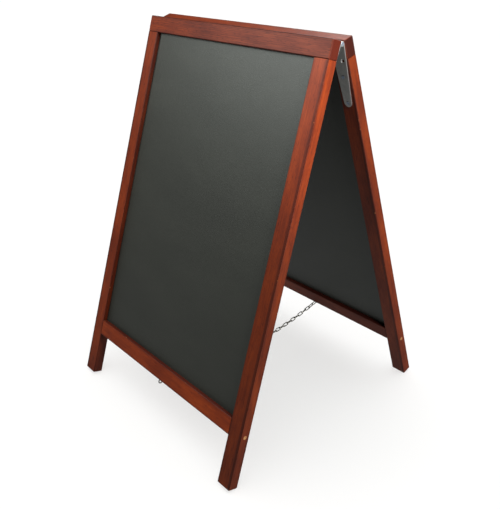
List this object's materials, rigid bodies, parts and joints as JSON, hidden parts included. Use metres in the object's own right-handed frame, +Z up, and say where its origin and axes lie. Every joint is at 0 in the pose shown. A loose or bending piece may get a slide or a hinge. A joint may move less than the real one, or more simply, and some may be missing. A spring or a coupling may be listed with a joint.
{
  "type": "sandwich board",
  "caption": "Folding wooden sandwich board with a chalkboard panel on each side, hinged at the top and held open by a chain.",
  "frame": {"origin": "on the ground, at the middle of the four feet", "axes": "+Z up, +X across the board along the hinge line, and the front writing face looks towards -Y"},
  "size_m": [0.55, 0.5826, 0.8363],
  "materials": {
    "stained_wood": "satin mahogany stain",
    "pale_wood": "bare",
    "chalkboard_paint": "matte chalkboard paint on fibreboard",
    "hinge_steel": "dull zinc plate",
    "zinc_steel": "bright zinc plate",
    "yellow_zinc_steel": "yellow zinc plate",
    "chain_steel": "zinc plate"
  },
  "bodies": {
    "front_frame": {"front_bottom_rail": "stained_wood", "front_chalkboard": "chalkboard_paint", "front_corner_dowels": "pale_wood", "front_hinge_screws": "zinc_steel", "front_left_hinge_leaf": "hinge_steel", "front_left_stile": "stained_wood", "front_rail_screws": "yellow_zinc_steel", "front_right_hinge_leaf": "hinge_steel", "front_right_stile": "stained_wood", "front_screw_eye": "zinc_steel", "front_screw_plugs": "pale_wood", "front_top_rail": "stained_wood", "left_hinge_pin": "hinge_steel", "right_hinge_pin": "hinge_steel"},
    "back_frame": {"back_bottom_rail": "stained_wood", "back_chalkboard": "chalkboard_paint", "back_corner_dowels": "pale_wood", "back_hinge_screws": "zinc_steel", "back_left_hinge_leaf": "hinge_steel", "back_left_stile": "stained_wood", "back_rail_screws": "yellow_zinc_steel", "back_right_hinge_leaf": "hinge_steel", "back_right_stile": "stained_wood", "back_screw_eye": "zinc_steel", "back_screw_plugs": "pale_wood", "back_top_rail": "stained_wood"},
    "chain_back_1": {"chain_back_1": "chain_steel"},
    "chain_back_2": {"chain_back_2": "chain_steel"},
    "chain_back_3": {"chain_back_3": "chain_steel"},
    "chain_center_link": {"chain_center_link": "chain_steel"},
    "chain_front_1": {"chain_front_1": "chain_steel"},
    "chain_front_2": {"chain_front_2": "chain_steel"},
    "chain_front_3": {"chain_front_3": "chain_steel"}
  },
  "joints": [
    {"name": "top_hinge", "type": "hinge", "parent": "front_frame", "child": "back_frame", "pos_m": [0, 0, 0.8239], "axis": [1, 0, 0], "range_deg": [-35.6, 0]},
    {"name": "chain_front_1_swing", "type": "hinge", "parent": "front_frame", "child": "chain_front_1", "pos_m": [0, -0.2521, 0.0925], "axis": [1, 0, 0], "range_deg": [-93.63, 0], "deforming": ["chain_front_1"]},
    {"name": "chain_front_2_swing", "type": "hinge", "parent": "chain_front_1", "child": "chain_front_2", "pos_m": [0, -0.16921, 0.07496], "axis": [1, 0, 0], "range_deg": [-4.68, 0], "deforming": ["chain_front_2"]},
    {"name": "chain_front_3_swing", "type": "hinge", "parent": "chain_front_2", "child": "chain_front_3", "pos_m": [0, -0.08829, 0.06463], "axis": [1, 0, 0], "range_deg": [-4.61, 0], "deforming": ["chain_front_3"]},
    {"name": "chain_back_1_swing", "type": "hinge", "parent": "back_frame", "child": "chain_back_1", "pos_m": [0, 0.2521, 0.0925], "axis": [1, 0, 0], "range_deg": [0, 93.63], "deforming": ["chain_back_1"]},
    {"name": "chain_back_2_swing", "type": "hinge", "parent": "chain_back_1", "child": "chain_back_2", "pos_m": [0, 0.16921, 0.07496], "axis": [1, 0, 0], "range_deg": [0, 4.68], "deforming": ["chain_back_2"]},
    {"name": "chain_back_3_swing", "type": "hinge", "parent": "chain_back_2", "child": "chain_back_3", "pos_m": [0, 0.08829, 0.06463], "axis": [1, 0, 0], "range_deg": [0, 4.61], "deforming": ["chain_back_3"]},
    {"name": "chain_center_swing", "type": "hinge", "parent": "chain_front_3", "child": "chain_center_link", "pos_m": [0, -0.0068, 0.06081], "axis": [1, 0, 0], "range_deg": [0, 85.1], "deforming": ["chain_center_link"]}
  ],
  "couplings": [
    {"joint": "chain_front_1_swing", "follows": "top_hinge", "ratio": 2.6298},
    {"joint": "chain_front_2_swing", "follows": "top_hinge", "ratio": 0.13113},
    {"joint": "chain_front_3_swing", "follows": "top_hinge", "ratio": 0.12913},
    {"joint": "chain_back_1_swing", "follows": "top_hinge", "ratio": -2.6298},
    {"joint": "chain_back_2_swing", "follows": "top_hinge", "ratio": -0.13113},
    {"joint": "chain_back_3_swing", "follows": "top_hinge", "ratio": -0.12913},
    {"joint": "chain_center_swing", "follows": "top_hinge", "ratio": -2.3901}
  ]
}
